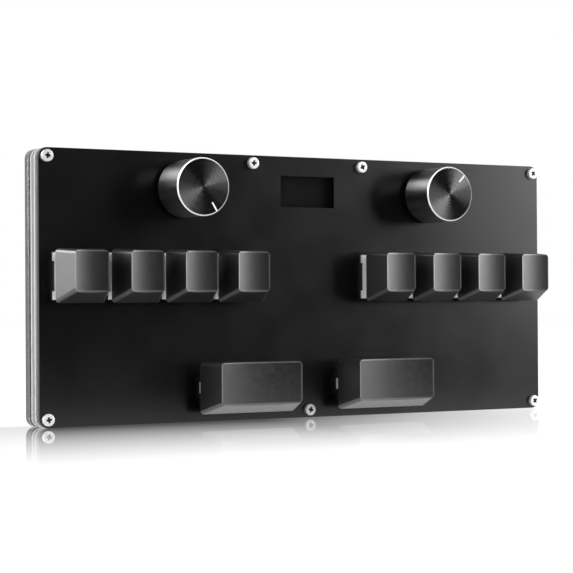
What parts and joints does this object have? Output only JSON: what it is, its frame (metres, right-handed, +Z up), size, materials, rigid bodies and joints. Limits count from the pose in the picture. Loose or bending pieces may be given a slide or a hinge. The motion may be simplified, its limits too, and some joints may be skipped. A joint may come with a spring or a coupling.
{
  "type": "macro keypad",
  "caption": "Desk macro keypad standing on its long edge: dished keys, wide stabilized keys, press-and-turn knobs and a small display in a black and clear sandwich case.",
  "frame": {"origin": "middle of the bottom edge that it stands on: half of the width, half of the case's thickness", "axes": "+Z up along the panel, +X to the user's right, and the panel faces -Y"},
  "size_m": [0.205, 0.0299, 0.092],
  "materials": {
    "black_panel": "black anodised, fine blasted",
    "clear_acrylic": "clear cast sheet with polished edges",
    "screw_steel": "nickel plated",
    "foot_rubber": "matt",
    "board_laminate": "black solder mask",
    "display_glass": "dark glass",
    "chip_black": "moulded epoxy",
    "socket_steel": "nickel plated",
    "switch_white": "white nylon",
    "contact_brass": "gold plated",
    "spring_steel": "bright wire",
    "encoder_steel": "zinc plated",
    "cap_black": "satin moulded",
    "stem_plastic": "moulded acetal",
    "knob_black": "black anodised, turned"
  },
  "bodies": {
    "root": {"front_panel": "black_panel", "case_frame": "clear_acrylic", "rear_cover": "clear_acrylic", "standoffs": "screw_steel", "front_screws": "screw_steel", "rear_screws": "screw_steel", "rubber_feet": "foot_rubber", "circuit_board": "board_laminate", "display_glass": "display_glass", "controller_chip": "chip_black", "board_diodes": "chip_black", "usb_socket_shell": "socket_steel", "usb_socket_tongue": "chip_black", "switch_bases": "switch_white", "switch_pins": "contact_brass", "switch_covers": "switch_white", "switch_springs": "spring_steel", "stabilizer_housings": "switch_white", "encoder_cases": "encoder_steel"},
    "key_1": {"keycap_1": "cap_black", "switch_stem_1": "stem_plastic"},
    "key_2": {"keycap_2": "cap_black", "switch_stem_2": "stem_plastic"},
    "key_3": {"keycap_3": "cap_black", "switch_stem_3": "stem_plastic"},
    "key_4": {"keycap_4": "cap_black", "switch_stem_4": "stem_plastic"},
    "key_5": {"keycap_5": "cap_black", "switch_stem_5": "stem_plastic"},
    "key_6": {"keycap_6": "cap_black", "switch_stem_6": "stem_plastic"},
    "key_7": {"keycap_7": "cap_black", "switch_stem_7": "stem_plastic"},
    "key_8": {"keycap_8": "cap_black", "switch_stem_8": "stem_plastic"},
    "wide_key_left": {"wide_keycap_left": "cap_black", "wide_switch_stem_left": "stem_plastic", "stabilizer_sliders_left": "switch_white"},
    "wide_key_right": {"wide_keycap_right": "cap_black", "wide_switch_stem_right": "stem_plastic", "stabilizer_sliders_right": "switch_white"},
    "wire_left": {"stabilizer_wire_left": "spring_steel"},
    "wire_right": {"stabilizer_wire_right": "spring_steel"},
    "rotor_left": {"encoder_rotor_left": "stem_plastic"},
    "knob_left": {"encoder_shaft_left": "encoder_steel", "knob_left": "knob_black", "knob_insert_left": "stem_plastic"},
    "rotor_right": {"encoder_rotor_right": "stem_plastic"},
    "knob_right": {"encoder_shaft_right": "encoder_steel", "knob_right": "knob_black", "knob_insert_right": "stem_plastic"}
  },
  "joints": [
    {"name": "key_1_press", "type": "slide", "parent": "root", "child": "key_1", "axis": [0, 1, 0], "range_m": [0, 0.004], "stiffness_N_per_m": 70, "springref_m": -0.0043, "deforming": ["switch_springs"]},
    {"name": "key_2_press", "type": "slide", "parent": "root", "child": "key_2", "axis": [0, 1, 0], "range_m": [0, 0.004], "stiffness_N_per_m": 70, "springref_m": -0.0043, "deforming": ["switch_springs"]},
    {"name": "key_3_press", "type": "slide", "parent": "root", "child": "key_3", "axis": [0, 1, 0], "range_m": [0, 0.004], "stiffness_N_per_m": 70, "springref_m": -0.0043, "deforming": ["switch_springs"]},
    {"name": "key_4_press", "type": "slide", "parent": "root", "child": "key_4", "axis": [0, 1, 0], "range_m": [0, 0.004], "stiffness_N_per_m": 70, "springref_m": -0.0043, "deforming": ["switch_springs"]},
    {"name": "key_5_press", "type": "slide", "parent": "root", "child": "key_5", "axis": [0, 1, 0], "range_m": [0, 0.004], "stiffness_N_per_m": 70, "springref_m": -0.0043, "deforming": ["switch_springs"]},
    {"name": "key_6_press", "type": "slide", "parent": "root", "child": "key_6", "axis": [0, 1, 0], "range_m": [0, 0.004], "stiffness_N_per_m": 70, "springref_m": -0.0043, "deforming": ["switch_springs"]},
    {"name": "key_7_press", "type": "slide", "parent": "root", "child": "key_7", "axis": [0, 1, 0], "range_m": [0, 0.004], "stiffness_N_per_m": 70, "springref_m": -0.0043, "deforming": ["switch_springs"]},
    {"name": "key_8_press", "type": "slide", "parent": "root", "child": "key_8", "axis": [0, 1, 0], "range_m": [0, 0.004], "stiffness_N_per_m": 70, "springref_m": -0.0043, "deforming": ["switch_springs"]},
    {"name": "wide_key_left_press", "type": "slide", "parent": "root", "child": "wide_key_left", "axis": [0, 1, 0], "range_m": [0, 0.004], "stiffness_N_per_m": 70, "springref_m": -0.0043, "deforming": ["switch_springs"]},
    {"name": "wide_key_right_press", "type": "slide", "parent": "root", "child": "wide_key_right", "axis": [0, 1, 0], "range_m": [0, 0.004], "stiffness_N_per_m": 70, "springref_m": -0.0043, "deforming": ["switch_springs"]},
    {"name": "wire_left_swing", "type": "hinge", "parent": "root", "child": "wire_left", "pos_m": [-0.0275, -0.00165, 0.02], "axis": [1, 0, 0], "range_deg": [0, 35]},
    {"name": "wire_right_swing", "type": "hinge", "parent": "root", "child": "wire_right", "pos_m": [0.0275, -0.00165, 0.02], "axis": [1, 0, 0], "range_deg": [0, 35]},
    {"name": "knob_left_turn", "type": "hinge", "parent": "root", "child": "rotor_left", "pos_m": [-0.0502, 0, 0.0794], "axis": [0, 1, 0], "continuous": true},
    {"name": "knob_left_press", "type": "slide", "parent": "rotor_left", "child": "knob_left", "axis": [0, 1, 0], "range_m": [0, 0.0005], "stiffness_N_per_m": 4000, "springref_m": -0.0005},
    {"name": "knob_right_turn", "type": "hinge", "parent": "root", "child": "rotor_right", "pos_m": [0.0502, 0, 0.0794], "axis": [0, 1, 0], "continuous": true},
    {"name": "knob_right_press", "type": "slide", "parent": "rotor_right", "child": "knob_right", "axis": [0, 1, 0], "range_m": [0, 0.0005], "stiffness_N_per_m": 4000, "springref_m": -0.0005}
  ],
  "couplings": [
    {"joint": "wire_left_swing", "follows": "wide_key_left_press", "rad_per_m": 144.98},
    {"joint": "wire_right_swing", "follows": "wide_key_right_press", "rad_per_m": 144.98}
  ]
}
